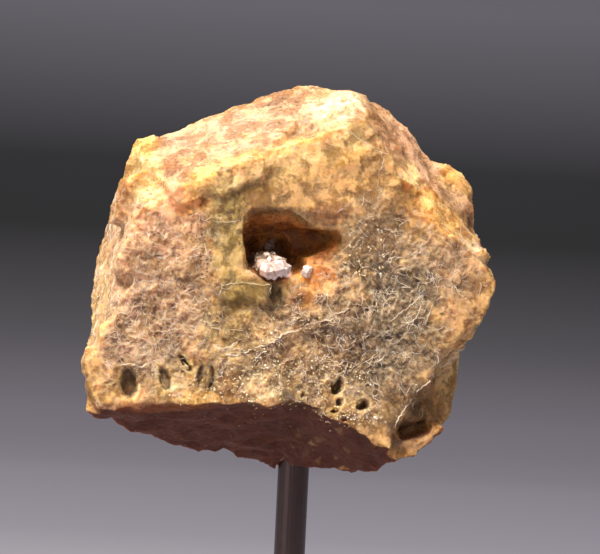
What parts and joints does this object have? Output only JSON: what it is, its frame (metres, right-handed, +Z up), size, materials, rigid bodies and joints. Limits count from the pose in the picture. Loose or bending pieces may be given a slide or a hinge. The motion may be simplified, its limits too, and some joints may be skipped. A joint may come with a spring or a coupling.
{
  "type": "grossular garnet specimen",
  "caption": "Honey-coloured grossular garnet crystal with an open hollow lined with small pale crystals, held on a thin dark rod with a round base.",
  "frame": {"origin": "centre of the stand base's underside, on the rod's axis", "axes": "+Z up along the rod, towards the stone; -Y towards the viewer, the way the stone's hollow face looks; +X to the viewer's right"},
  "size_m": [0.044, 0.044, 0.0687],
  "materials": {
    "garnet": "waxy, matted with fine pale fibres",
    "pale_garnet": "glassy",
    "dark_rod": "dark satin lacquer",
    "dark_base": "dark satin lacquer"
  },
  "bodies": {
    "root": {"garnet_crystal": "garnet", "hollow_crystals": "pale_garnet", "support_rod": "dark_rod", "stand_base": "dark_base"}
  },
  "joints": []
}
